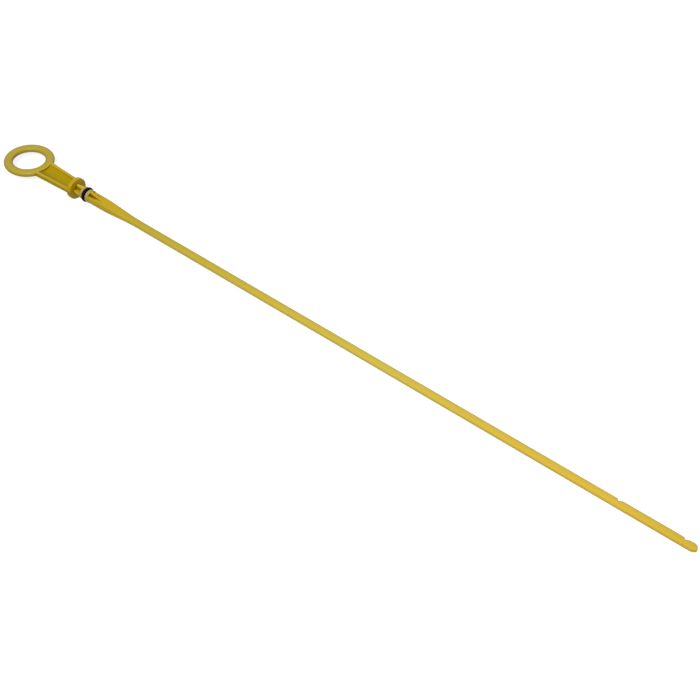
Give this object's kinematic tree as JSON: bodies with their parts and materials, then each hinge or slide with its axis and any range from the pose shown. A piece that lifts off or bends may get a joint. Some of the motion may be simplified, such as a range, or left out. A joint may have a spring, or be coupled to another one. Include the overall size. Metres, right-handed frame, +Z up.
{
  "type": "engine oil dipstick",
  "caption": "Slim moulded plastic oil level stick with a finger ring, a ribbed neck, a stop collar, a sealed plug and a flat blade with notched level marks.",
  "frame": {"origin": "centre of the collar's tip-side face, which seats on the mouth of the dipstick tube", "axes": "+X towards the tip along the length, +Y across the flat finger ring towards the notched edge, +Z up; the stick lies as it comes to rest, so its own axis dips 0.75 degrees below +X"},
  "size_m": [0.5359, 0.034, 0.0146],
  "materials": {
    "moulded_plastic": "semi-gloss moulded yellow nylon",
    "seal_rubber": "smooth black nitrile"
  },
  "bodies": {
    "root": {"dipstick_body": "moulded_plastic", "seal_ring": "seal_rubber"}
  },
  "joints": []
}
